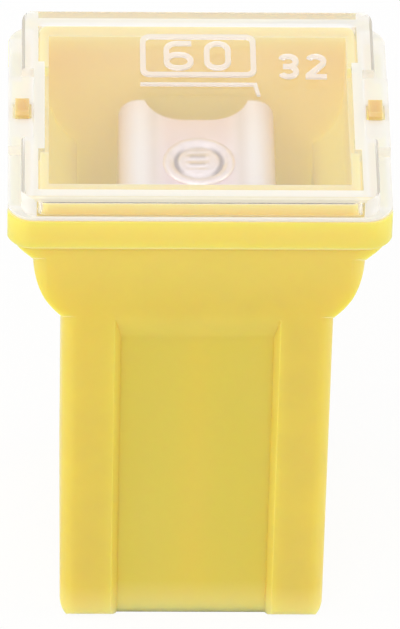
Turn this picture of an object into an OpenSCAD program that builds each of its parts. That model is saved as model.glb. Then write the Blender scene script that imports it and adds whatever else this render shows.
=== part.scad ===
// Cartridge fuse: a moulded housing, a clear latched cover, and a folded sheet-metal fuse
// element whose two legs end in female sockets for flat blades.
// Frame: origin at the middle of the base, +X to the right, -Y to the front, +Z up.
// All sizes are in millimetres.

/* [Overall] */
// Height from the base to the top of the cover
total_h = 22.85; // [20:0.05:28]
// Width over the flange
flange_w = 15; // [14.6:0.1:18]
// Depth over the flange
flange_d = 11.6; // [11.2:0.1:14]

/* [Housing outside] */
// Thickness of the flange
flange_t = 1.37; // [0.8:0.01:2]
// Corner radius of the flange, seen from above
flange_corner_r = 1; // [0.3:0.1:1.5]
// How far the flange stands out past the head on the short sides
flange_side_lip = 1.03; // [0.9:0.01:1.4]
// How far the flange stands out past the body at the front and back
flange_front_lip = 0.4; // [0.2:0.05:0.8]
// Reach and height of the sloping ledge under the short sides of the flange
ledge_reach = 0.9; // [0.3:0.05:0.95]
// How much narrower the stem is than the head, on each side
shoulder_step = 1.15; // [0.6:0.01:1.4]
// Height of the straight part of the head, under the flange
head_straight_h = 1.12; // [0.9:0.01:3]
// Radius of the rounded shoulder between the head and the stem
shoulder_r = 4; // [2.6:0.1:5]
// Radius of the upright edges of the head and the stem
upright_edge_r = 0.6; // [0.2:0.05:0.9]
// Radius of the edges of the base at the front and back
base_edge_r = 0.45; // [0.1:0.05:0.8]
// Radius of the edges of the base at its two short sides
base_side_r = 0.7; // [0.1:0.05:0.8]
// Width of the shallow recess on the front and back of the stem
recess_w = 6.5; // [3:0.1:8]
// Depth of that recess
recess_depth = 0.4; // [0.1:0.05:0.5]
// How far the recess stops below the foot of the shoulder
recess_drop = 0.1; // [0:0.1:3]
// Length over which its upper end runs out
recess_run_out = 1.3; // [0.5:0.1:3]
// Slope of its two sides, measured across X
recess_side_slope = 0.25; // [0.1:0.05:0.6]

/* [Housing inside] */
// Thickness of the short side walls
side_wall = 0.6; // [0.4:0.05:0.9]
// Thickness of the front and back walls, outside the recess
front_wall = 0.95; // [0.8:0.05:1.2]
// Thickness of the base
base_t = 1.2; // [0.8:0.1:2]
// Thickness of the wall between the two terminals
divider_t = 1; // [0.6:0.1:1.6]
// Gap between the underside of the link and the top of the divider
divider_gap = 2; // [1:0.1:4]
// Thickness of the ribs that back each terminal leg
rib_t = 0.8; // [0.5:0.1:1.2]
// Distance of each rib from the middle of the divider
rib_offset = 2; // [1.2:0.1:2.6]
// How far the ribs stop below the top of the divider
rib_drop = 2; // [1:0.1:4]
// Height of the rim that stands up inside the cover
rim_h = 0.5; // [0.3:0.05:0.55]
// Height of the bar between the ribs, which the lance of each leg locks under
lock_bar_h = 1.6; // [0.8:0.1:3]

/* [Cover] */
// Height of the cover above the flange
block_h = 1.1; // [1.1:0.05:2]
// How far the block stands back from the short sides of the flange
block_side_set_back = 0.57; // [0.5:0.01:0.8]
// How far the block stands back from the front and back of the flange
block_set_back = 0.15; // [0.1:0.05:0.4]
// Corner radius of the block, seen from above
block_corner_r = 0.6; // [0.3:0.05:0.9]
// Radius of the block's upper edges
block_edge_r = 0.15; // [0.1:0.05:0.4]
// Thickness of the cover's front and back walls
cover_wall = 0.5; // [0.3:0.05:0.6]
// Thickness of the cover's walls on the short sides
cover_side_wall = 0.65; // [0.4:0.05:0.7]
// Thickness of the cover's top
cover_top_t = 0.5; // [0.4:0.05:0.55]
// How far the cover's lip stands back from the edges of the flange
lip_set_back = 0.05; // [0:0.01:0.1]
// Thickness of the lip above the flange
lip_t = 0.15; // [0.1:0.01:0.3]
// Width left in the flange at each corner, beside the skirts
corner_post = 0.75; // [0.4:0.01:1]
// Length of the latch saddle on each short side
saddle_l = 4.14; // [3:0.02:5]
// Depth of the saddle under the top of the cover
saddle_drop = 0.45; // [0.4:0.05:0.5]
// How far the saddle cuts into the block
saddle_notch = 0.48; // [0.3:0.02:0.6]
// Clearance between the cover and the housing
cover_fit = 0.08; // [0.03:0.01:0.12]

/* [Latch tongue] */
// Length of the tongue's head
latch_head_l = 1; // [0.8:0.05:2]
// Height of the tongue's head above the saddle
latch_head_h = 0.34; // [0.2:0.02:0.4]
// How far the head hooks over the saddle at each end
latch_hook = 0.08; // [0.04:0.01:0.15]
// Thickness of the tongue above the flange
latch_t = 0.55; // [0.4:0.05:0.6]
// Bevel on the upper ends of the head
latch_bevel = 0.12; // [0.05:0.01:0.15]

/* [Raised marks on the cover] */
// Height of the marks
mark_h = 0.1; // [0.05:0.01:0.2]
// Width of a stroke
mark_stroke = 0.22; // [0.15:0.01:0.3]
// Width of the rounded frame
frame_w = 4.56; // [3.5:0.02:5]
// Depth of the rounded frame
frame_d = 2.52; // [2:0.02:2.8]
// Distance of the frame's middle behind the middle of the cover
frame_y = 2.82; // [2:0.02:3]
// Height of the large numerals
large_digit_h = 1.7; // [1:0.05:1.9]
// Height of the small numerals
small_digit_h = 1.45; // [1:0.05:1.6]
// Corner radius of the frame
frame_r = 0.4; // [0.2:0.05:0.8]
// Distance of the small numerals' middle from the middle of the cover
small_x = 4.08; // [3.8:0.02:4.4]
// Gap between the frame and the thin line before it
line_gap = 0.42; // [0.3:0.02:0.8]
// Length of the short tail at the right-hand end of the thin line
line_tail = 0.6; // [0.2:0.05:1]

/* [Fuse element] */
// Thickness of the sheet
sheet_t = 0.45; // [0.3:0.05:0.6]
// Depth of the link under the top of the cover
link_drop = 3.35; // [2.2:0.05:4]
// Width of the sheet along Y, at the link
link_d = 7.6; // [6.6:0.1:7.8]
// Height over which the legs keep that width, below the link
link_side_h = 5; // [3:0.5:7]
// Outer radius of the bends from the link to the legs
bend_r = 0.8; // [0.6:0.05:2]
// Width of the link at its neck
neck_d = 5.2; // [3.4:0.1:6]
// Length of the straight part of the neck
neck_l = 1; // [0.4:0.1:2]
// Radius of the curves from the neck out to the full width
neck_arc_r = 1.6; // [1.2:0.1:3]
// Width of the lance that is cut and bent inwards from each leg
lance_w = 1.2; // [0.8:0.1:2]
// Length of the lance
lance_l = 1.6; // [1:0.1:2.4]
// How far the tip of the lance reaches in from the leg
lance_reach = 0.5; // [0.3:0.05:0.7]
// Gap between a lance and the edges of its opening
lance_cut = 0.15; // [0.1:0.05:0.3]

/* [Terminals] */
// Thickness of the blade that plugs in
blade_t = 0.8; // [0.6:0.1:1]
// Width of the blade that plugs in
blade_w = 6.3; // [4.8:0.1:6.3]
// Play of the blade between the leg and the folded arms
blade_play = 0.04; // [0.02:0.01:0.1]
// Room for the arms to spring out towards the side wall
spring_room = 0.35; // [0.2:0.01:0.6]
// Play of the blade at each side of the slot in the base
slot_play = 0.15; // [0.1:0.05:0.25]
// Depth of the lead-in under each slot
slot_lead = 0.5; // [0.2:0.1:0.8]
// How far the lead-in opens out on each side of the slot
slot_flare = 0.35; // [0.1:0.05:0.5]
// Height of the folded arms above the inside of the base
arm_lift = 1; // [0.6:0.1:2]
// Length of the folded arms
arm_h = 7; // [4:0.1:9]
// Gap between the free edges of the two arms
arm_gap = 0.7; // [0.4:0.1:2]
// Size of the corners trimmed from the arms for the blade's entry
arm_trim = 1.1; // [0.4:0.1:1.5]
// How far the middle of each fold lies inside the edge of the blade
fold_in = 0.05; // [0:0.01:0.2]
// Height of the lance's root above the folded arms
lance_lift = 0.3; // [0.1:0.1:1]

/* [Tin pill] */
// Diameter of the pill's head
pill_d = 2.8; // [2:0.1:3.2]
// Diameter of its shank, through the link
pill_shank_d = 1.9; // [1.2:0.1:2]
// Diameter of the upset end under the link
pill_foot_d = 2.3; // [2.1:0.1:2.6]
// Distance of the pill to the right of the middle
pill_x = 0.05; // [-0.4:0.05:0.4]
// Slope of the sides of the dished face
pill_slope = 0.1; // [0.05:0.01:0.2]
// Height of the head above the link
pill_head_h = 0.15; // [0.1:0.01:0.3]
// Clearance of the shank in the link
pill_fit = 0.02; // [0.01:0.01:0.05]

/* [Hidden] */
$fn = 64;

// Overlap that lets a cut run past a face
past = 1;
// Overlap of two shapes that would otherwise only just touch
touch = 0.001;

// Heights
joint_z = total_h - block_h;
flange_z = joint_z - flange_t;
shoulder_z = flange_z - head_straight_h;
shoulder_foot_z = shoulder_z - sqrt(shoulder_r ^ 2 - (shoulder_r - shoulder_step) ^ 2);
recess_h = shoulder_foot_z - recess_drop;
saddle_z = total_h - saddle_drop;
link_z = total_h - link_drop;
rim_z = joint_z + rim_h;

// Half sizes of the housing
flange_hw = flange_w / 2;
flange_hd = flange_d / 2;
head_hw = flange_hw - flange_side_lip;
body_hd = flange_hd - flange_front_lip;
stem_hw = head_hw - shoulder_step;
recess_hw = recess_w / 2;
cavity_hd = body_hd - front_wall;
post_inner_hd = flange_hd - corner_post;

// Half sizes of the cover
block_hw = flange_hw - block_side_set_back;
block_hd = flange_hd - block_set_back;
bore_hw = block_hw - cover_side_wall;
bore_hd = block_hd - cover_wall;
bore_corner_r = block_corner_r - cover_wall / 2;
rim_hw = bore_hw - cover_fit;
rim_hd = bore_hd - cover_fit;
lip_hw = flange_hw - lip_set_back;
lip_hd = flange_hd - lip_set_back;
lip_z = joint_z + lip_t;
skirt_in = head_hw + cover_fit;
skirt_hd = post_inner_hd - cover_fit;
skirt_z = flange_z;
saddle_hl = saddle_l / 2;
notch_hw = block_hw - saddle_notch;
pocket_wall = cover_wall - cover_fit;
pocket_hw = notch_hw - pocket_wall;

// The latch tongue and the window that it passes through
tongue_in = skirt_in + cover_fit;
tongue_out = tongue_in + latch_t;
window_out = tongue_out + cover_fit;
window_hl = latch_head_l / 2 - latch_hook;
tongue_hl = window_hl - cover_fit;
head_gap = cover_fit / 2;
lance_gap = cover_fit;

// The fuse element, placed from the stem's side walls inwards
socket_gap = blade_t + blade_play;
arm_in = stem_hw - side_wall - spring_room - sheet_t;
leg_out = arm_in - socket_gap;
leg_in = leg_out - sheet_t;
blade_x = leg_out + socket_gap / 2;
link_hd = link_d / 2;
leg_step_z = link_z - link_side_h;
neck_hd = neck_d / 2;
turn_r = socket_gap / 2 + sheet_t;
turn_y = blade_w / 2 - fold_in;
arm_z = base_t + arm_lift;
lance_root_z = arm_z + arm_h + lance_lift;
lance_top_z = lance_root_z + lance_l;
slot_ht = blade_t / 2 + slot_play;
slot_hw = blade_w / 2 + slot_play;
divider_z = link_z - sheet_t - divider_gap;

// ---- Shared shapes ----

// A rectangle with rounded corners, in the middle of the sheet
module rounded_rect(w, d, r) {
    square([w - 2 * r, d], center = true);
    square([w, d - 2 * r], center = true);
    for (sx = [-1, 1])
        for (sy = [-1, 1])
            translate([sx * (w / 2 - r), sy * (d / 2 - r)])
                circle(r);
}

// Stands a flat shape up in the XZ plane and gives it a depth along Y
module along_y(depth) {
    rotate([90, 0, 0])
        linear_extrude(depth, center = true)
            children();
}

// Stands a flat shape up in the YZ plane and gives it a width along X
module along_x(width) {
    rotate([90, 0, 90])
        linear_extrude(width, center = true)
            children();
}

// A flat shape given a height, from one level to another
module between(low, high) {
    translate([0, 0, low])
        linear_extrude(high - low)
            children();
}

// A rectangle standing on the X axis with its two lower corners rounded
module foot_profile(w, h, r) {
    translate([-w / 2, r])
        square([w, h - r]);
    translate([-w / 2 + r, 0])
        square([w - 2 * r, h]);
    for (side = [-1, 1])
        translate([side * (w / 2 - r), r])
            circle(r);
}

// Front outline of stem, shoulders and head, drawn in by an inset all along its sides
module body_profile(inset, low, high) {
    translate([-stem_hw + inset, low])
        square([2 * (stem_hw - inset), high - low]);
    translate([-head_hw + inset, shoulder_z])
        square([2 * (head_hw - inset), high - shoulder_z]);
    for (side = [0, 1])
        mirror([side, 0])
            translate([head_hw - shoulder_r, shoulder_z])
                intersection() {
                    circle(shoulder_r - inset);
                    translate([0, -shoulder_r])
                        square(shoulder_r);
                }
}

// ---- Housing ----

// The stem, with rounded upright edges and a rounded foot
module stem() {
    intersection() {
        between(0, flange_z)
            rounded_rect(2 * stem_hw, 2 * body_hd, upright_edge_r);
        along_y(2 * body_hd + past)
            foot_profile(2 * stem_hw, flange_z, base_side_r);
        along_x(2 * stem_hw + past)
            foot_profile(2 * body_hd, flange_z, base_edge_r);
    }
}

// The wider head, on its two rounded shoulders
module head() {
    intersection() {
        between(shoulder_foot_z, flange_z)
            rounded_rect(2 * head_hw, 2 * body_hd, upright_edge_r);
        along_y(2 * body_hd + past)
            body_profile(0, shoulder_foot_z, flange_z);
    }
}

// The ledges that slope out from the short sides of the head to carry the skirts
module ledges() {
    reach_hw = head_hw + ledge_reach;
    intersection() {
        between(flange_z - ledge_reach, flange_z)
            rounded_rect(2 * reach_hw, 2 * body_hd, upright_edge_r);
        along_y(2 * body_hd + past)
            polygon([
                [-head_hw, flange_z - ledge_reach],
                [head_hw, flange_z - ledge_reach],
                [reach_hw, flange_z],
                [-reach_hw, flange_z],
            ]);
    }
}

// The flange, cut away on both short sides for the skirts of the cover
module flange() {
    difference() {
        between(flange_z, joint_z)
            rounded_rect(flange_w, flange_d, flange_corner_r);
        for (side = [-1, 1])
            translate([side * (head_hw + flange_hw), 0, (flange_z + joint_z) / 2])
                cube([2 * flange_hw, 2 * post_inner_hd, flange_t + past], center = true);
    }
}

// The rim inside the cover, open where the cover's latch saddles reach in
module rim() {
    saddle_gap_hl = saddle_hl + pocket_wall + cover_fit;
    difference() {
        between(joint_z - past, rim_z)
            rounded_rect(2 * rim_hw, 2 * rim_hd, bore_corner_r);
        translate([0, 0, (joint_z + rim_z + past) / 2])
            cube([3 * rim_hw, 2 * saddle_gap_hl, rim_z - joint_z + past], center = true);
    }
}

// A latch tongue on the right-hand short side: a rib up the head, and a hooked top
module tongue() {
    hook_z = saddle_z + head_gap;
    hook_top = saddle_z + latch_head_h;
    translate([(head_hw + tongue_out - side_wall / 2) / 2, 0, (flange_z + joint_z) / 2])
        cube([tongue_out - head_hw + side_wall / 2, 2 * tongue_hl, flange_t], center = true);
    translate([tongue_in, 0, 0])
        between(joint_z - flange_t / 2, (hook_z + hook_top) / 2)
            translate([0, -tongue_hl])
                square([latch_t, 2 * tongue_hl]);
    translate([(tongue_in + tongue_out) / 2, 0, 0])
        along_x(latch_t)
            polygon([
                [-latch_head_l / 2, hook_z],
                [latch_head_l / 2, hook_z],
                [latch_head_l / 2, hook_top - latch_bevel],
                [latch_head_l / 2 - latch_bevel, hook_top],
                [-latch_head_l / 2 + latch_bevel, hook_top],
                [-latch_head_l / 2, hook_top - latch_bevel],
            ]);
}

// The shallow recess on the front of the stem, with sloping sides and a run-out at the top
module recess() {
    face_y = -body_hd;
    floor_y = -body_hd + recess_depth;
    intersection() {
        between(-past, recess_h)
            polygon([
                [-recess_hw - recess_side_slope, face_y - past],
                [recess_hw + recess_side_slope, face_y - past],
                [recess_hw, face_y],
                [recess_hw - recess_side_slope, floor_y],
                [-recess_hw + recess_side_slope, floor_y],
                [-recess_hw, face_y],
            ]);
        along_x(2 * flange_w)
            polygon([
                [face_y - past, -past],
                [floor_y, -past],
                [floor_y, recess_h - recess_run_out],
                [face_y, recess_h],
                [face_y - past, recess_h],
            ]);
    }
}

// The bar between the ribs, bevelled on top so that the lances slide down past it
module lock_bar() {
    low = lance_top_z + lance_gap;
    high = low + lock_bar_h;
    half = leg_in - lance_reach / 2;
    bevel = lance_reach;
    along_y(2 * rib_offset)
        polygon([
            [-half, low],
            [half, low],
            [half, high - bevel],
            [half - bevel, high],
            [-half + bevel, high],
            [-half, high - bevel],
        ]);
}

// The room for the fuse element, less the divider, the lock bar and the ribs behind the legs
module cavity() {
    rib_end = leg_in - cover_fit;
    difference() {
        along_y(2 * cavity_hd)
            body_profile(side_wall, base_t, rim_z + past);
        between(0, divider_z)
            square([divider_t, 2 * body_hd], center = true);
        for (y = [-rib_offset, rib_offset])
            between(0, divider_z - rib_drop)
                translate([-rib_end, y - rib_t / 2])
                    square([2 * rib_end, rib_t]);
        lock_bar();
    }
}

// The blade slot in the base on the right-hand side, with its lead-in
module slot() {
    translate([blade_x, 0, 0])
        along_y(2 * slot_hw)
            polygon([
                [-slot_ht - slot_flare, -past],
                [slot_ht + slot_flare, -past],
                [slot_ht + slot_flare, 0],
                [slot_ht, slot_lead],
                [slot_ht, base_t + past],
                [-slot_ht, base_t + past],
                [-slot_ht, slot_lead],
                [-slot_ht - slot_flare, 0],
            ]);
}

module housing() {
    color("gold")
        difference() {
            union() {
                stem();
                head();
                ledges();
                flange();
                rim();
                for (side = [0, 1])
                    mirror([side, 0, 0])
                        tongue();
            }
            cavity();
            for (turn = [0, 180])
                rotate(turn) {
                    recess();
                    slot();
                }
        }
}

// ---- Cover ----

// The raised block, with rounded corners and upper edges
module block() {
    intersection() {
        between(joint_z, total_h)
            rounded_rect(2 * block_hw, 2 * block_hd, block_corner_r);
        translate([0, 0, total_h])
            mirror([0, 0, 1])
                along_y(2 * block_hd + past)
                    foot_profile(2 * block_hw, block_h + past, block_edge_r);
        translate([0, 0, total_h])
            mirror([0, 0, 1])
                along_x(2 * block_hw + past)
                    foot_profile(2 * block_hd, block_h + past, block_edge_r);
    }
}

// The thin lip round the foot of the block, which lies on the flange
module lip() {
    between(joint_z, lip_z)
        rounded_rect(2 * lip_hw, 2 * lip_hd, flange_corner_r);
}

// Skirt and latch saddle of the right-hand short side
module latch_side() {
    between(skirt_z, lip_z)
        translate([skirt_in, -skirt_hd])
            square([lip_hw - skirt_in, 2 * skirt_hd]);
    between(joint_z, saddle_z)
        translate([pocket_hw, -saddle_hl])
            square([lip_hw - pocket_hw, saddle_l]);
}

// The hollow under the top, which steps in round the two latch saddles
module cover_hollow() {
    step_hl = saddle_hl + pocket_wall;
    between(joint_z - past, total_h - cover_top_t)
        difference() {
            rounded_rect(2 * bore_hw, 2 * bore_hd, bore_corner_r);
            for (side = [-1, 1])
                translate([side * (pocket_hw + bore_hw), 0])
                    square([2 * bore_hw, 2 * step_hl], center = true);
        }
}

// The notch over the saddle and the window for the tongue, on the right-hand side
module latch_cuts() {
    between(saddle_z, total_h + past)
        translate([notch_hw, -saddle_hl])
            square([flange_w, saddle_l]);
    between(skirt_z - past, saddle_z + past)
        translate([skirt_in, -window_hl])
            square([window_out - skirt_in, 2 * window_hl]);
    between(skirt_z - past, joint_z)
        translate([0, -skirt_hd - past])
            square([skirt_in, 2 * (skirt_hd + past)]);
}

// An arc of a ring, for a stroke of a numeral; angles run anticlockwise from +X
module arc_stroke(r, from, to, stroke) {
    reach = 2 * r;
    middle = (from + to) / 2;
    intersection() {
        difference() {
            circle(r);
            circle(r - stroke);
        }
        polygon([
            [0, 0],
            [reach * cos(from), reach * sin(from)],
            [reach * cos((from + middle) / 2), reach * sin((from + middle) / 2)],
            [reach * cos(middle), reach * sin(middle)],
            [reach * cos((to + middle) / 2), reach * sin((to + middle) / 2)],
            [reach * cos(to), reach * sin(to)],
        ]);
    }
}

// A six: a wide closed ring, a tall back and a hooked top
module digit_six(h, stroke) {
    r = h * 0.3;
    half = r * 1.15;
    translate([0, -h / 2 + r])
        difference() {
            rounded_rect(2 * half, 2 * r, r - touch);
            rounded_rect(2 * (half - stroke), 2 * (r - stroke), r - stroke - touch);
        }
    translate([-half, -h / 2 + r])
        square([stroke, h - 2 * r]);
    translate([r - half, h / 2 - r])
        arc_stroke(r, 90, 180, stroke);
    translate([r - half - touch, h / 2 - stroke])
        square([half, stroke]);
}

// A nought: an upright ring with straight sides
module digit_nought(h, stroke) {
    half = h * 0.31;
    difference() {
        rounded_rect(2 * half, h, half - touch);
        rounded_rect(2 * (half - stroke), h - 2 * stroke, half - stroke - touch);
    }
}

// A three: two rings, both open to the left, and a short bar where they meet
module digit_three(h, stroke) {
    r = (h + stroke) / 4;
    translate([0, h / 2 - r])
        arc_stroke(r, -90, 150, stroke);
    translate([0, r - h / 2])
        arc_stroke(r, -150, 90, stroke);
    translate([-r / 2, -stroke / 2])
        square([r / 2 + touch, stroke]);
}

// A two: a ring open to the left, a slanting stroke and a flat foot
module digit_two(h, stroke) {
    r = (h + stroke) / 4;
    foot = -h / 2;
    open_angle = -45;
    translate([0, h / 2 - r])
        arc_stroke(r, open_angle, 150, stroke);
    polygon([
        [(r - stroke) * cos(open_angle), h / 2 - r + (r - stroke) * sin(open_angle)],
        [r * cos(open_angle), h / 2 - r + r * sin(open_angle)],
        [-r + 1.5 * stroke, foot + stroke],
        [-r, foot + stroke],
    ]);
    translate([-r, foot])
        square([2 * r, stroke]);
}

// The frame with its numerals, the small numerals beside it and the thin line before it
module marks() {
    large_pitch = large_digit_h * 0.9;
    small_pitch = small_digit_h * 0.75;
    line_stroke = mark_stroke * 0.6;
    line_y = frame_y - frame_d / 2 - line_gap - line_stroke;
    line_end = frame_w / 2 - line_stroke;
    translate([0, frame_y]) {
        difference() {
            rounded_rect(frame_w, frame_d, frame_r);
            rounded_rect(frame_w - 2 * mark_stroke, frame_d - 2 * mark_stroke, frame_r / 2);
        }
        translate([-large_pitch / 2, 0])
            digit_six(large_digit_h, mark_stroke);
        translate([large_pitch / 2, 0])
            digit_nought(large_digit_h, mark_stroke);
    }
    translate([small_x, frame_y - frame_d / 4]) {
        translate([-small_pitch / 2, 0])
            digit_three(small_digit_h, mark_stroke);
        translate([small_pitch / 2, 0])
            digit_two(small_digit_h, mark_stroke);
    }
    polygon([
        [-frame_w / 2, line_y],
        [line_end, line_y],
        [line_end + line_stroke, line_y - line_tail],
        [line_end + 2 * line_stroke, line_y - line_tail],
        [line_end + line_stroke, line_y + line_stroke],
        [-frame_w / 2, line_y + line_stroke],
    ]);
}

module cover() {
    color("white", 0.4)
        difference() {
            union() {
                block();
                lip();
                between(total_h - block_edge_r, total_h + mark_h)
                    marks();
                for (side = [0, 1])
                    mirror([side, 0, 0])
                        latch_side();
            }
            cover_hollow();
            for (side = [0, 1])
                mirror([side, 0, 0])
                    latch_cuts();
        }
}

// ---- Fuse element ----

// Half of the folded strip seen from the front: link, bend and leg
module strip_profile() {
    bend_x = leg_out - bend_r;
    bend_z = link_z - bend_r;
    translate([0, link_z - sheet_t])
        square([bend_x, sheet_t]);
    translate([bend_x, bend_z])
        intersection() {
            difference() {
                circle(bend_r);
                circle(bend_r - sheet_t);
            }
            square(bend_r);
        }
    translate([leg_in, base_t])
        square([sheet_t, bend_z - base_t]);
}

// The strips cut from both edges of a leg, down from where it narrows to the socket
module leg_trims() {
    for (side = [0, 1])
        mirror([0, side, 0])
            translate([0, blade_w / 2, base_t - past])
                cube([leg_out + past, link_hd, leg_step_z - base_t + past]);
}

// The two concave cuts that neck the link in
module neck_cuts() {
    for (side = [0, 1])
        mirror([0, side])
            translate([0, neck_hd + neck_arc_r]) {
                translate([-neck_l / 2, -neck_arc_r])
                    square([neck_l, 2 * neck_arc_r]);
                for (x = [-neck_l / 2, neck_l / 2])
                    translate([x, 0])
                        circle(neck_arc_r);
            }
}

// The right-hand socket from above: both edges of the leg are folded back over the blade
module socket_plan() {
    for (side = [0, 1])
        mirror([0, side]) {
            translate([blade_x, turn_y])
                intersection() {
                    difference() {
                        circle(turn_r);
                        circle(socket_gap / 2);
                    }
                    translate([-turn_r, 0])
                        square([2 * turn_r, turn_r]);
                }
            translate([arm_in, arm_gap / 2])
                square([sheet_t, turn_y - arm_gap / 2]);
        }
    translate([leg_in, -turn_y])
        square([sheet_t, 2 * turn_y]);
}

// The lance of the right-hand leg: a tongue bent inwards, with its tip up
module lance() {
    along_y(lance_w)
        polygon([
            [leg_in, lance_root_z],
            [leg_in + sheet_t, lance_root_z],
            [leg_in - lance_reach + sheet_t, lance_top_z],
            [leg_in - lance_reach, lance_top_z],
        ]);
}

// The opening that the lance leaves in its leg
module lance_window() {
    translate([leg_in - past, -lance_w / 2 - lance_cut, lance_root_z])
        cube([sheet_t + 2 * past, lance_w + 2 * lance_cut, lance_l + lance_cut]);
}

// The lead-in trimmed from the lower inner corners of the arms
module arm_lead_in() {
    translate([arm_in + sheet_t / 2, 0, 0])
        along_x(sheet_t + socket_gap)
            polygon([
                [-arm_gap / 2 - arm_trim, arm_z - past / 2],
                [arm_gap / 2 + arm_trim, arm_z - past / 2],
                [arm_gap / 2 + arm_trim, arm_z],
                [0, arm_z + arm_gap / 2 + arm_trim],
                [-arm_gap / 2 - arm_trim, arm_z],
            ]);
}

module fuse_element() {
    shank_hole_r = pill_shank_d / 2 + pill_fit;
    color("gainsboro")
        difference() {
            for (side = [0, 1])
                mirror([side, 0, 0]) {
                    difference() {
                        along_y(link_d)
                            strip_profile();
                        lance_window();
                        leg_trims();
                    }
                    lance();
                    difference() {
                        between(arm_z, arm_z + arm_h)
                            socket_plan();
                        arm_lead_in();
                    }
                }
            between(link_z - bend_r, link_z + past)
                neck_cuts();
            translate([pill_x, 0, link_z - sheet_t - past])
                cylinder(h = sheet_t + 2 * past, r = shank_hole_r);
        }
}

// ---- Tin pill ----

// A rivet of tin: a dished head above the link, a shank through it, and an upset foot below
module tin_pill() {
    head_r = pill_d / 2;
    shank_r = pill_shank_d / 2;
    foot_r = pill_foot_d / 2;
    half_h = pill_head_h / 2;
    link_low = link_z - sheet_t;
    color("silver")
        translate([pill_x, 0, 0])
            rotate_extrude()
                polygon([
                    [0, link_low - pill_head_h],
                    [foot_r, link_low - pill_head_h],
                    [foot_r, link_low],
                    [shank_r, link_low],
                    [shank_r, link_z],
                    [head_r, link_z],
                    [head_r, link_z + half_h],
                    [head_r - half_h, link_z + pill_head_h],
                    [shank_r, link_z + pill_head_h],
                    [shank_r - pill_slope, link_z + half_h],
                    [0, link_z + half_h],
                ]);
}

housing();
cover();
fuse_element();
tin_pill();
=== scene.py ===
import math

import bmesh
import bpy
from mathutils import Matrix, Vector


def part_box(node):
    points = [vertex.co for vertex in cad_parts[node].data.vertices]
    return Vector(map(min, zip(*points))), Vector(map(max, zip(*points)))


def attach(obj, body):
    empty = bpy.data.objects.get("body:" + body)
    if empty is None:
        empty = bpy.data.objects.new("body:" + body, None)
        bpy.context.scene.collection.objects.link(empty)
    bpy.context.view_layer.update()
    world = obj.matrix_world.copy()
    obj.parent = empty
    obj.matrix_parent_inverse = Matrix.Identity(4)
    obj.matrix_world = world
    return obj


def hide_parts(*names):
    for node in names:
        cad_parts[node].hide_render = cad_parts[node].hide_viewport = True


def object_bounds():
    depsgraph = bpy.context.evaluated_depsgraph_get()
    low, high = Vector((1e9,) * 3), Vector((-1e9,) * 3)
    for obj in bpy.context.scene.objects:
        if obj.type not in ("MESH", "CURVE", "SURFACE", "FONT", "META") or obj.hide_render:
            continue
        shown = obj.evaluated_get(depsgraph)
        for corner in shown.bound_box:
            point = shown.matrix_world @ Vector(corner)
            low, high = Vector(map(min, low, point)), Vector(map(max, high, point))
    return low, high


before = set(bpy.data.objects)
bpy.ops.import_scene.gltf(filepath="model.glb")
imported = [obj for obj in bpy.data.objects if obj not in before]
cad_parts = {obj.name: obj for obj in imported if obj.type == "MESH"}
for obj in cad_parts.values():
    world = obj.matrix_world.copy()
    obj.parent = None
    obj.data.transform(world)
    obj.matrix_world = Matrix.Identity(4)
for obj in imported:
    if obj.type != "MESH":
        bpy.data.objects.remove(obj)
cad_low, cad_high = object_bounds()


# ---- Camera ----
# A long lens looks down on the front of the fuse from a little to the left, so that the cover,
# the link under it and the whole front of the stem are seen together.
MM = 0.001
camera_height_angle = math.radians(42.0)
camera_turn = math.radians(-1.795)
camera_roll = math.radians(1.412)
camera_distance = 304.67 * MM
lens_length = 436.06
sensor_width = 36
looked_at = Vector((0.232 * MM, -0.3 * MM, 12.011 * MM))

towards_camera = Vector((
    math.sin(camera_turn) * math.cos(camera_height_angle),
    -math.cos(camera_turn) * math.cos(camera_height_angle),
    math.sin(camera_height_angle),
))
level_right = Vector((math.cos(camera_turn), math.sin(camera_turn), 0.0))
level_up = towards_camera.cross(level_right)
rolled_right = level_right * math.cos(camera_roll) + level_up * math.sin(camera_roll)
rolled_up = level_up * math.cos(camera_roll) - level_right * math.sin(camera_roll)

camera = bpy.data.cameras.new("camera")
camera.sensor_width = sensor_width
camera.lens = lens_length
camera.clip_start = 1 * MM
camera_object = bpy.data.objects.new("camera", camera)
placing = Matrix((rolled_right, rolled_up, towards_camera)).transposed().to_4x4()
placing.translation = looked_at + towards_camera * camera_distance
camera_object.matrix_world = placing
bpy.context.scene.collection.objects.link(camera_object)
bpy.context.scene.camera = camera_object


# ---- Table and light ----
# A white table top under a white tent, with soft panels overhead, in front, behind and at the
# sides. The table stays pale where it is looked at and still carries the fuse's shadow.
tent_light = 0.5
table_glow = 0.9
table_shade = (0.94, 0.94, 0.94, 1)
overhead_power = 0.05
front_power = 0.39
side_power = 0.24
back_power = 0.27


def seen_directly(nodes, links):
    """1 where the eye, a reflection or a look through the clear cover meets the surface."""
    path = nodes.new("ShaderNodeLightPath")
    either = nodes.new("ShaderNodeMath")
    either.operation = "MAXIMUM"
    links.new(path.outputs["Is Camera Ray"], either.inputs[0])
    links.new(path.outputs["Is Glossy Ray"], either.inputs[1])
    any_of = nodes.new("ShaderNodeMath")
    any_of.operation = "MAXIMUM"
    links.new(either.outputs[0], any_of.inputs[0])
    links.new(path.outputs["Is Transmission Ray"], any_of.inputs[1])
    return any_of.outputs[0]


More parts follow.
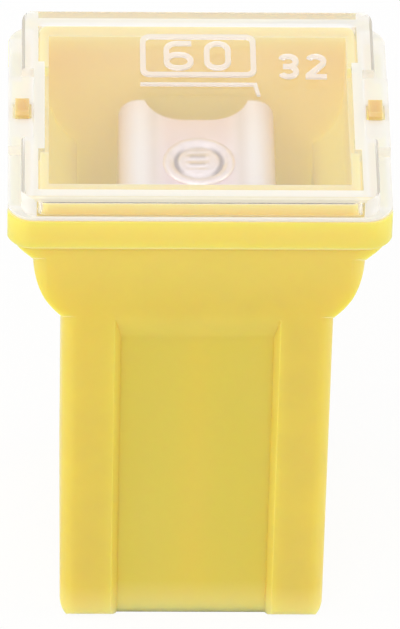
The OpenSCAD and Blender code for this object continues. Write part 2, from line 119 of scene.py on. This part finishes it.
bpy.ops.mesh.primitive_plane_add(size=2)
table = bpy.context.object
table.name = "table"
table_white = bpy.data.materials.new("table_white")
table_white.use_nodes = True
nodes, links = table_white.node_tree.nodes, table_white.node_tree.links
lit_table = nodes["Principled BSDF"]
lit_table.inputs["Base Color"].default_value = table_shade
lit_table.inputs["Roughness"].default_value = 0.8
lit_table.inputs["Specular IOR Level"].default_value = 0.1
bare_white = nodes.new("ShaderNodeEmission")
bare_white.inputs["Strength"].default_value = 1.0
share = nodes.new("ShaderNodeMath")
share.operation = "MULTIPLY"
share.inputs[1].default_value = table_glow
links.new(seen_directly(nodes, links), share.inputs[0])
table_mix = nodes.new("ShaderNodeMixShader")
links.new(share.outputs[0], table_mix.inputs["Fac"])
links.new(lit_table.outputs[0], table_mix.inputs[1])
links.new(bare_white.outputs[0], table_mix.inputs[2])
links.new(table_mix.outputs[0], nodes["Material Output"].inputs["Surface"])
table.data.materials.append(table_white)

tent = bpy.data.worlds.new("tent")
bpy.context.scene.world = tent
tent.use_nodes = True
nodes, links = tent.node_tree.nodes, tent.node_tree.links
tent_surface = nodes["Background"]
tent_surface.inputs["Color"].default_value = (1, 1, 1, 1)
strength = nodes.new("ShaderNodeMix")
strength.data_type = "FLOAT"
strength.inputs[2].default_value = tent_light
strength.inputs[3].default_value = 1.0
links.new(seen_directly(nodes, links), strength.inputs[0])
links.new(strength.outputs[0], tent_surface.inputs["Strength"])


def soft_panel(name, place, aim, width, height, power):
    lamp = bpy.data.lights.new(name, "AREA")
    lamp.shape = "RECTANGLE"
    lamp.size = width
    lamp.size_y = height
    lamp.energy = power
    panel = bpy.data.objects.new(name, lamp)
    panel.location = place
    panel.rotation_euler = (Vector(aim) - Vector(place)).to_track_quat("-Z", "Y").to_euler()
    bpy.context.scene.collection.objects.link(panel)


soft_panel(
    "overhead_panel",
    place=(-0.04, -0.06, 0.30),
    aim=(0, 0, 0.01),
    width=0.30,
    height=0.30,
    power=overhead_power,
)
soft_panel(
    "front_panel",
    place=(-0.05, -0.22, 0.28),
    aim=(0, 0, 0.012),
    width=0.30,
    height=0.20,
    power=front_power,
)
soft_panel(
    "back_panel",
    place=(0.0, 0.28, 0.07),
    aim=(0, 0, 0.015),
    width=0.30,
    height=0.10,
    power=back_power,
)
for name, place in (("left_panel", (-0.26, -0.02, 0.12)), ("right_panel", (0.26, 0.0, 0.12))):
    soft_panel(name, place, aim=(0, 0, 0.015), width=0.12, height=0.22, power=side_power)


# ---- Housing ----
# One injection moulding in yellow nylon: the stem that enters the fuse holder, the rounded
# shoulders, the flange that stops it, the rim inside the cover and the two latch tongues.
moulded_edge = 0.07 * MM
moulded_corner_angle = 28
same_point = 0.0001 * MM
flat_angle = 0.5
lit_head_heights = (17 * MM, 21.5 * MM)
recess_sides = (3.0 * MM, 3.2 * MM)
recess_floors = (5.1 * MM, 5.3 * MM)
recess_tops = (14.5 * MM, 16 * MM)
stem_walls = (4.6 * MM, 4.8 * MM)
hook_sides = (6.5 * MM, 6.6 * MM)
hook_heights = (22.3 * MM, 22.45 * MM)
rim_sides = (6.4 * MM, 6.5 * MM)
rim_heights = (22.2 * MM, 22.24 * MM)
table_bounce_heights = (0.2 * MM, 1.8 * MM)
noise_middle = (0.35, 0.65)
noise_span = (0.3, 0.7)
recess_shade_yellow = (0.88, 0.66, 0.105)
hook_tan = (0.68, 0.47, 0.22)
rim_tan = (0.92, 0.69, 0.36)
table_bounce_yellow = (1.0, 0.85, 0.36)


def merged_copy(node_name):
    """The solid of a node as one closed shell with its flat faces whole."""
    shell = bmesh.new()
    shell.from_mesh(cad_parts[node_name].data)
    bmesh.ops.remove_doubles(shell, verts=shell.verts, dist=same_point)
    bmesh.ops.dissolve_limit(
        shell,
        angle_limit=math.radians(flat_angle),
        verts=shell.verts,
        edges=shell.edges,
        use_dissolve_boundaries=False,
        delimit=set(),
    )
    return shell


def finished_piece(name, shell, finishes, edge_radius, sharper_than):
    """Puts the shell in the scene with every corner that turns more than the angle rounded."""
    mesh = bpy.data.meshes.new(name)
    for face in shell.faces:
        face.smooth = True
    shell.to_mesh(mesh)
    shell.free()
    for finish in finishes:
        mesh.materials.append(finish)
    piece = bpy.data.objects.new(name, mesh)
    bpy.context.scene.collection.objects.link(piece)
    rounding = piece.modifiers.new("rounded_corners", "BEVEL")
    rounding.width = edge_radius
    rounding.segments = 2
    rounding.limit_method = "ANGLE"
    rounding.angle_limit = math.radians(sharper_than)
    rounding.use_clamp_overlap = True
    evening = piece.modifiers.new("flat_faces_shade_flat", "WEIGHTED_NORMAL")
    evening.mode = "FACE_AREA"
    evening.weight = 80
    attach(piece, "root")
    return piece


def noise(nodes, links, where, scale, detail, stretch=(1, 1, 1)):
    mapping = nodes.new("ShaderNodeMapping")
    mapping.inputs["Scale"].default_value = stretch
    links.new(where, mapping.inputs["Vector"])
    pattern = nodes.new("ShaderNodeTexNoise")
    pattern.inputs["Scale"].default_value = scale
    pattern.inputs["Detail"].default_value = detail
    links.new(mapping.outputs[0], pattern.inputs["Vector"])
    return pattern.outputs["Fac"]


def ranged(nodes, links, value, from_low, from_high, to_low, to_high):
    span = nodes.new("ShaderNodeMapRange")
    span.inputs["From Min"].default_value = from_low
    span.inputs["From Max"].default_value = from_high
    span.inputs["To Min"].default_value = to_low
    span.inputs["To Max"].default_value = to_high
    links.new(value, span.inputs["Value"])
    return span.outputs["Result"]


def mixed_colour(nodes, links, factor, first, second):
    mix = nodes.new("ShaderNodeMix")
    mix.data_type = "RGBA"
    links.new(factor, mix.inputs[0])
    for given, socket in ((first, mix.inputs[6]), (second, mix.inputs[7])):
        if isinstance(given, tuple):
            socket.default_value = (*given, 1)
        else:
            links.new(given, socket)
    return mix.outputs[2]


def bumped(nodes, links, height, strength, depth):
    bump = nodes.new("ShaderNodeBump")
    bump.inputs["Strength"].default_value = strength
    bump.inputs["Distance"].default_value = depth
    links.new(height, bump.inputs["Height"])
    return bump.outputs["Normal"]


def multiplied(nodes, links, first, second):
    product = nodes.new("ShaderNodeMath")
    product.operation = "MULTIPLY"
    links.new(first, product.inputs[0])
    links.new(second, product.inputs[1])
    return product.outputs[0]


def distances(nodes, links, where):
    """How far a point lies from the middle along X and along Y, and its height."""
    split = nodes.new("ShaderNodeSeparateXYZ")
    links.new(where, split.inputs[0])
    out = []
    for axis in ("X", "Y"):
        size = nodes.new("ShaderNodeMath")
        size.operation = "ABSOLUTE"
        links.new(split.outputs[axis], size.inputs[0])
        out.append(size.outputs[0])
    return (*out, split.outputs["Z"])


def moulded_nylon(name, light, dark, flow_tone, lit_head_tone, light_reach):
    finish = bpy.data.materials.new(name)
    finish.use_nodes = True
    nodes, links = finish.node_tree.nodes, finish.node_tree.links
    nylon = nodes["Principled BSDF"]
    where = nodes.new("ShaderNodeTexCoord").outputs["Object"]
    side, depth, height = distances(nodes, links, where)
    clouds = noise(nodes, links, where, 260, 3)
    flow = noise(nodes, links, where, 420, 4, stretch=(1, 1, 0.25))
    cloudy = ranged(nodes, links, clouds, *noise_middle, 0, 1)
    colour = mixed_colour(nodes, links, cloudy, light, dark)
    flow_lines = ranged(nodes, links, flow, 0.45, 0.75, 0, 0.35)
    colour = mixed_colour(nodes, links, flow_lines, colour, flow_tone)
    # Painted light: the head is painted paler towards the top, where more light falls on it from
    # above.
    painted_light_on_head = ranged(nodes, links, height, *lit_head_heights, 0, 0.9)
    colour = mixed_colour(nodes, links, painted_light_on_head, colour, lit_head_tone)
    # Painted shade: the recess in the stem's front and back takes a tone of its own that stands
    # in for the shade in it.
    recess_side = ranged(nodes, links, side, *recess_sides, 1, 0)
    recess_floor = ranged(nodes, links, depth, *recess_floors, 1, 0)
    outside = ranged(nodes, links, depth, *stem_walls, 0, 1)
    recess_low = ranged(nodes, links, height, *recess_tops, 1, 0)
    painted_recess_shade = multiplied(nodes, links, recess_side, recess_floor)
    painted_recess_shade = multiplied(nodes, links, painted_recess_shade, recess_low)
    painted_recess_shade = multiplied(nodes, links, painted_recess_shade, outside)
    colour = mixed_colour(nodes, links, painted_recess_shade, colour, recess_shade_yellow)
    hooked_head = multiplied(
        nodes, links,
        ranged(nodes, links, side, *hook_sides, 0, 1),
        ranged(nodes, links, height, *hook_heights, 0, 1),
    )
    colour = mixed_colour(nodes, links, hooked_head, colour, hook_tan)
    rim_top = multiplied(
        nodes, links,
        ranged(nodes, links, height, *rim_heights, 0, 0.7),
        ranged(nodes, links, side, *rim_sides, 1, 0),
    )
    colour = mixed_colour(nodes, links, rim_top, colour, rim_tan)
    # Painted light: the foot is painted paler towards the base, for the light thrown up onto it
    # by the white table.
    painted_table_bounce = ranged(nodes, links, height, *table_bounce_heights, 0.6, 0)
    colour = mixed_colour(nodes, links, painted_table_bounce, colour, table_bounce_yellow)
    links.new(colour, nylon.inputs["Base Color"])
    links.new(ranged(nodes, links, flow, *noise_span, 0.36, 0.5), nylon.inputs["Roughness"])
    nylon.inputs["Subsurface Weight"].default_value = 1.0
    nylon.inputs["Subsurface Radius"].default_value = (1.0, 0.8, 0.4)
    nylon.inputs["Subsurface Scale"].default_value = light_reach
    spark_finish = noise(nodes, links, where, 9000, 2)
    links.new(bumped(nodes, links, spark_finish, 0.35, 0.006 * MM), nylon.inputs["Normal"])
    return finish


yellow_nylon = moulded_nylon(
    "yellow_nylon",
    light=(0.86, 0.665, 0.11),
    dark=(0.81, 0.63, 0.115),
    flow_tone=(0.88, 0.69, 0.145),
    lit_head_tone=(0.93, 0.765, 0.18),
    light_reach=1.2 * MM,
)
# The well's walls are the same nylon. A finish of their own, which lets more light in, stands in
# for the light that reaches them through the whole moulding.
well_nylon = moulded_nylon(
    "well_nylon",
    light=(0.998, 0.62, 0.16),
    dark=(0.995, 0.61, 0.155),
    flow_tone=(0.998, 0.63, 0.17),
    lit_head_tone=(0.93, 0.59, 0.20),
    light_reach=5 * MM,
)
well_side = 6.0 * MM
well_end = 4.5 * MM
well_top = 22.0 * MM
stem_well_side = 5.0 * MM
stem_well_foot = 1.5 * MM
shoulder_foot = 16 * MM
WELL = 1

shell = merged_copy("housing")
for face in shell.faces:
    middle = face.calc_center_median()
    in_stem = abs(middle.x) < stem_well_side and middle.z > stem_well_foot
    in_head = abs(middle.x) < well_side and middle.z > shoulder_foot
    faces_inwards = face.normal.x * middle.x <= 0
    inside = abs(middle.y) < well_end and middle.z < well_top
    if inside and (in_stem or (in_head and faces_inwards)):
        face.material_index = WELL
housing = finished_piece(
    "housing_moulding",
    shell,
    [yellow_nylon, well_nylon],
    moulded_edge,
    moulded_corner_angle,
)
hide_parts("housing")


# ---- Fuse element ----
# Copper alloy strip, tinned, stamped and folded: the necked link across the top, a leg down
# each side and a socket folded round each blade. It is pushed down into the housing.
stamped_edge = 0.05 * MM
stamped_corner_angle = 28
bend_highlight_sides = (1.1 * MM, 2.2 * MM)
bend_shade_starts = (1.4 * MM, 1.7 * MM)
bend_shade_ends = (1.75 * MM, 2.1 * MM)
plate_light = (0.98, 0.87, 0.95)
plate_dark = (0.93, 0.81, 0.88)
bend_highlight_white = (1.0, 0.99, 1.0)
bend_shade = (0.74, 0.66, 0.60)

tinned_strip = bpy.data.materials.new("tinned_strip")
tinned_strip.use_nodes = True
nodes, links = tinned_strip.node_tree.nodes, tinned_strip.node_tree.links
strip = nodes["Principled BSDF"]
where = nodes.new("ShaderNodeTexCoord").outputs["Object"]
side, _, _ = distances(nodes, links, where)
rolling = noise(nodes, links, where, 2200, 4, stretch=(0.12, 1, 0.12))
blush = noise(nodes, links, where, 300, 3)
blushing = ranged(nodes, links, blush, *noise_middle, 0, 1)
colour = mixed_colour(nodes, links, blushing, plate_light, plate_dark)
# Painted highlight: the link turns whiter and less metallic over its bends, standing in for the
# bright highlight the bends catch.
painted_bend_highlight = ranged(nodes, links, side, *bend_highlight_sides, 0, 1)
colour = mixed_colour(nodes, links, painted_bend_highlight, colour, bend_highlight_white)
# Painted shade: a darker line where each bend of the link begins.
bend_shade_mask = multiplied(
    nodes, links,
    ranged(nodes, links, side, *bend_shade_starts, 0, 1),
    ranged(nodes, links, side, *bend_shade_ends, 0.4, 0),
)
colour = mixed_colour(nodes, links, bend_shade_mask, colour, bend_shade)
links.new(colour, strip.inputs["Base Color"])
links.new(ranged(nodes, links, painted_bend_highlight, 0, 1, 0.5, 0.1), strip.inputs["Metallic"])
links.new(ranged(nodes, links, rolling, *noise_span, 0.3, 0.46), strip.inputs["Roughness"])
links.new(bumped(nodes, links, rolling, 0.3, 0.004 * MM), strip.inputs["Normal"])

shell = merged_copy("fuse_element")
fuse_element = finished_piece(
    "folded_fuse_element",
    shell,
    [tinned_strip],
    stamped_edge,
    stamped_corner_angle,
)
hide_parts("fuse_element")


# ---- Tin pill ----
# A soft tin rivet in the middle of the link: it melts into the strip on a long overload. Its
# upset head is a ring and a low button with a groove between, marked by the riveting punch.
pill_low, pill_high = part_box("tin_pill")
pill_middle = (pill_low + pill_high) / 2
pill_head_r = (pill_high.x - pill_low.x) / 2
upset_height = 0.15 * MM
sheet_top = pill_high.z - upset_height
sheet_under = pill_low.z + upset_height
shank_r = 0.95 * MM
foot_r = 1.15 * MM
foot_bevel = 0.06 * MM
pressed_edge = 0.02 * MM
pressed_corner_angle = 50
turning_steps = 96
seam_play = 0.001 * MM
button_edges = (0.76 * MM, 0.86 * MM)
ring_feet = (0.94 * MM, 1.04 * MM)
shaded_sides = (0.45 * MM, 0.75 * MM)
stroke_sides = (0.25 * MM, 0.5 * MM)
stroke_depths = (0.5 * MM, 0.65 * MM)
tin_light = (1.0, 0.94, 0.99)
tin_dark = (0.92, 0.86, 0.92)
groove_shade = (0.40, 0.35, 0.39)
stroke_shade = (0.62, 0.56, 0.60)

tin_metal = bpy.data.materials.new("tin_metal")
tin_metal.use_nodes = True
nodes, links = tin_metal.node_tree.nodes, tin_metal.node_tree.links
tin = nodes["Principled BSDF"]
where = nodes.new("ShaderNodeTexCoord").outputs["Object"]
side, depth, _ = distances(nodes, links, where)
grain = noise(nodes, links, where, 3500, 5)
grainy = ranged(nodes, links, grain, *noise_middle, 0, 1)
colour = mixed_colour(nodes, links, grainy, tin_light, tin_dark)
centred = nodes.new("ShaderNodeMapping")
centred.inputs["Location"].default_value = (-pill_middle.x, 0, 0)
centred.inputs["Scale"].default_value = (1, 1, 0)
links.new(where, centred.inputs["Vector"])
from_axis = nodes.new("ShaderNodeVectorMath")
from_axis.operation = "LENGTH"
links.new(centred.outputs[0], from_axis.inputs[0])
# Painted shade: the groove between button and ring is painted dark, most at its left and right
# sides.
out_of_button = ranged(nodes, links, from_axis.outputs["Value"], *button_edges, 0, 1)
out_of_ring = ranged(nodes, links, from_axis.outputs["Value"], *ring_feet, 1, 0)
in_groove = multiplied(nodes, links, out_of_button, out_of_ring)
shaded_ends = ranged(nodes, links, side, *shaded_sides, 0.1, 1)
in_groove = multiplied(nodes, links, in_groove, shaded_ends)
colour = mixed_colour(nodes, links, in_groove, colour, groove_shade)
links.new(ranged(nodes, links, grain, *noise_span, 0.28, 0.42), tin.inputs["Roughness"])
# The punch strokes are dented into the button by the bump; their darker colour is painted shade
# in the dents.
strokes = nodes.new("ShaderNodeTexWave")
strokes.bands_direction = "Y"
strokes.inputs["Scale"].default_value = 740
strokes.inputs["Distortion"].default_value = 1.5
strokes.inputs["Detail"].default_value = 2
links.new(where, strokes.inputs["Vector"])
punched = multiplied(
    nodes, links,
    ranged(nodes, links, side, *stroke_sides, 1, 0),
    ranged(nodes, links, depth, *stroke_depths, 1, 0),
)
punch_marks = multiplied(nodes, links, punched, strokes.outputs["Fac"])
punch_shade = ranged(nodes, links, punch_marks, 0.5, 0.9, 0, 0.7)
colour = mixed_colour(nodes, links, punch_shade, colour, stroke_shade)
links.new(colour, tin.inputs["Base Color"])
tin.inputs["Metallic"].default_value = 0.6
dented = bumped(nodes, links, punch_marks, 1.0, 0.05 * MM)
fine = nodes.new("ShaderNodeBump")
fine.inputs["Strength"].default_value = 0.4
fine.inputs["Distance"].default_value = 0.008 * MM
links.new(grain, fine.inputs["Height"])
links.new(dented, fine.inputs["Normal"])
links.new(fine.outputs["Normal"], tin.inputs["Normal"])

shell = bmesh.new()
outline = (
    (0, pill_low.z),
    (foot_r - foot_bevel, pill_low.z),
    (foot_r, pill_low.z + foot_bevel),
    (foot_r, sheet_under),
    (shank_r, sheet_under),
    (shank_r, sheet_top),
    (pill_head_r, sheet_top),
    (pill_head_r + 0.02 * MM, sheet_top + 0.06 * MM),
    (pill_head_r - 0.05 * MM, sheet_top + 0.12 * MM),
    (pill_head_r - 0.16 * MM, sheet_top + 0.15 * MM),
    (pill_head_r - 0.3 * MM, sheet_top + 0.12 * MM),
    (pill_head_r - 0.42 * MM, sheet_top + 0.03 * MM),
    (pill_head_r - 0.52 * MM, sheet_top + 0.02 * MM),
    (pill_head_r - 0.6 * MM, sheet_top + 0.09 * MM),
    (pill_head_r - 0.74 * MM, sheet_top + 0.12 * MM),
    (0, sheet_top + 0.11 * MM),
)
points = [shell.verts.new((pill_middle.x + r, 0, z)) for r, z in outline]
lines = [shell.edges.new(pair) for pair in zip(points, points[1:])]
bmesh.ops.spin(
    shell,
    geom=points + lines,
    cent=(pill_middle.x, 0, 0),
    axis=(0, 0, 1),
    angle=math.radians(360),
    steps=turning_steps,
    use_merge=True,
)
bmesh.ops.remove_doubles(shell, verts=shell.verts, dist=seam_play)
bmesh.ops.recalc_face_normals(shell, faces=shell.faces)
pill = finished_piece(
    "tin_pill_rivet", shell, [tin_metal], pressed_edge, pressed_corner_angle
)
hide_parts("tin_pill")


# ---- Cover ----
# One clear polycarbonate moulding, latched over the head: a polished window on top, frosted
# walls, lip and skirts, a saddle at each latch and the raised marks moulded with it.
clear_edge = 0.03 * MM
clear_corner_angle = 28
mark_height = 0.1 * MM
window_top = cad_high.z - mark_height
window_side = 6.28 * MM
window_end = 5.15 * MM
pocket_side = 6.03 * MM
pocket_end = 2.49 * MM
pocket_brim = 2.74 * MM
rim_band = 4.65 * MM
block_side = 6.93 * MM
block_end = 5.65 * MM
lip_top = 21.9 * MM
edge_foot = 22.63 * MM
edge_reach = 0.16 * MM
upright_reach = 0.6 * MM
on_the_plane = 0.01 * MM
above_window = 0.005 * MM
level_play = 0.002 * MM
cut_play = 0.0005 * MM
square_on = 0.99
nearly_square = 0.9
polycarbonate_ior = 1.58
slight_lean = 0.1
least_lean = 0.05


def clear_plastic(
    name, milkiness, roughness, wave_depth, light=(1.0, 0.99, 0.975), dark=(0.985, 0.975, 0.96)
):
    finish = bpy.data.materials.new(name)
    finish.use_nodes = True
    nodes, links = finish.node_tree.nodes, finish.node_tree.links
    body = nodes["Principled BSDF"]
    where = nodes.new("ShaderNodeTexCoord").outputs["Object"]
    waves = noise(nodes, links, where, 500, 2)
    haze = noise(nodes, links, where, 2500, 3)
    colour = mixed_colour(nodes, links, haze, light, dark)
    links.new(colour, body.inputs["Base Color"])
    dull = ranged(nodes, links, haze, *noise_span, roughness * 0.7, roughness * 1.3)
    links.new(dull, body.inputs["Roughness"])
    body.inputs["IOR"].default_value = polycarbonate_ior
    body.inputs["Transmission Weight"].default_value = 1 - milkiness
    links.new(bumped(nodes, links, waves, 0.3, wave_depth), body.inputs["Normal"])
    straight_through = nodes.new("ShaderNodeBsdfTransparent")
    path = nodes.new("ShaderNodeLightPath")
    light_passes = nodes.new("ShaderNodeMath")
    light_passes.operation = "MAXIMUM"
    links.new(path.outputs["Is Shadow Ray"], light_passes.inputs[0])
    links.new(path.outputs["Is Diffuse Ray"], light_passes.inputs[1])
    either = nodes.new("ShaderNodeMixShader")
    links.new(light_passes.outputs[0], either.inputs["Fac"])
    links.new(body.outputs[0], either.inputs[1])
    links.new(straight_through.outputs[0], either.inputs[2])
    links.new(either.outputs[0], nodes["Material Output"].inputs["Surface"])
    return finish


polished_window = clear_plastic(
    "polished_window", milkiness=0.09, roughness=0.05, wave_depth=0.001 * MM
)
frosted_wall = clear_plastic(
    "frosted_wall", milkiness=0.75, roughness=0.2, wave_depth=0.004 * MM
)
raised_mark = clear_plastic(
    "raised_mark",
    milkiness=0.7,
    roughness=0.2,
    wave_depth=0.002 * MM,
    light=(1.0, 0.935, 0.88),
    dark=(0.98, 0.91, 0.86),
)
satin_edge = clear_plastic("satin_edge", milkiness=0.4, roughness=0.1, wave_depth=0.002 * MM)
# Painted shade: grey on the rounded side edges of the block, in place of the dark they refract.
painted_dark_side_edge = clear_plastic(
    "painted_dark_side_edge",
    milkiness=0.8,
    roughness=0.2,
    wave_depth=0.002 * MM,
    light=(0.66, 0.63, 0.58),
    dark=(0.60, 0.57, 0.52),
)
# Painted light: a pale cream on the rounded front edge of the block, in place of the bright edge
# seen there.
painted_bright_front_edge = clear_plastic(
    "painted_bright_front_edge",
    milkiness=0.75,
    roughness=0.2,
    wave_depth=0.002 * MM,
    light=(1.0, 0.93, 0.74),
    dark=(0.97, 0.90, 0.70),
)
cover_finishes = [polished_window, frosted_wall, raised_mark, satin_edge, painted_dark_side_edge, painted_bright_front_edge]
FROSTED, MARK, SATIN, SIDE, FRONT = 1, 2, 3, 4, 5


def cut_faces(shell, faces, place, facing):
    """Splits the faces along a line, so that its two sides can take different finishes."""
    edges = {edge for face in faces for edge in face.edges}
    verts = {vert for face in faces for vert in face.verts}
    bmesh.ops.bisect_plane(
        shell,
        geom=[*faces, *edges, *verts],
        plane_co=place,
        plane_no=facing,
        dist=cut_play,
    )


def cut_across_top(shell, place, facing):
    top = [
        face
        for face in shell.faces
        if face.normal.z > square_on
        and abs(face.calc_center_median().z - window_top) < level_play
    ]
    cut_faces(shell, top, place, facing)


shell = merged_copy("cover")
for side_sign in (-1, 1):
    for across in (window_side, pocket_side):
        cut_across_top(shell, (side_sign * across, 0, 0), (1, 0, 0))
for along in (pocket_end, -pocket_brim, -window_end, window_end, rim_band):
    cut_across_top(shell, (0, along, 0), (0, 1, 0))
front = [
    face
    for face in shell.faces
    if face.normal.y < -square_on and abs(face.calc_center_median().y + block_end) < on_the_plane
]
cut_faces(shell, front, (0, 0, edge_foot), (0, 0, 1))
for face in shell.faces:
    middle = face.calc_center_median()
    facing = face.normal
    out_x, out_y = abs(middle.x), abs(middle.y)
    near_front = out_y > block_end - edge_reach and middle.z > edge_foot
    on_front_edge = facing.y < -least_lean and near_front
    on_side_edge = slight_lean < facing.z < square_on and out_x > block_side - edge_reach
    on_corner = out_y > block_end - upright_reach and out_x > block_side - upright_reach
    in_pocket = out_x > pocket_side and out_y < pocket_end
    if middle.z > window_top + above_window:
        face.material_index = MARK
    elif facing.z > square_on and middle.z > window_top - level_play:
        over_pocket = out_x > pocket_side and -pocket_brim < middle.y < pocket_end
        over_front = middle.y < -window_end
        over_back = rim_band < middle.y < window_end
        if out_x > window_side or over_pocket or over_front or over_back:
            face.material_index = FROSTED
        elif middle.y > window_end:
            face.material_index = SATIN
    elif middle.z < lip_top + level_play:
        face.material_index = FROSTED
    elif on_front_edge and abs(facing.x) < slight_lean:
        face.material_index = FRONT
    elif on_side_edge and abs(facing.y) < slight_lean:
        face.material_index = SIDE
    elif on_corner and abs(facing.z) < slight_lean:
        face.material_index = FROSTED
    elif abs(facing.x) > nearly_square and abs(out_x - block_side) < on_the_plane:
        face.material_index = SATIN
    elif out_x > block_side + level_play or in_pocket:
        face.material_index = FROSTED
cover = finished_piece(
    "clear_cover", shell, cover_finishes, clear_edge, clear_corner_angle
)
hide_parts("cover")


# ---- Colour transform ----
bpy.context.scene.view_settings.view_transform = "Standard"
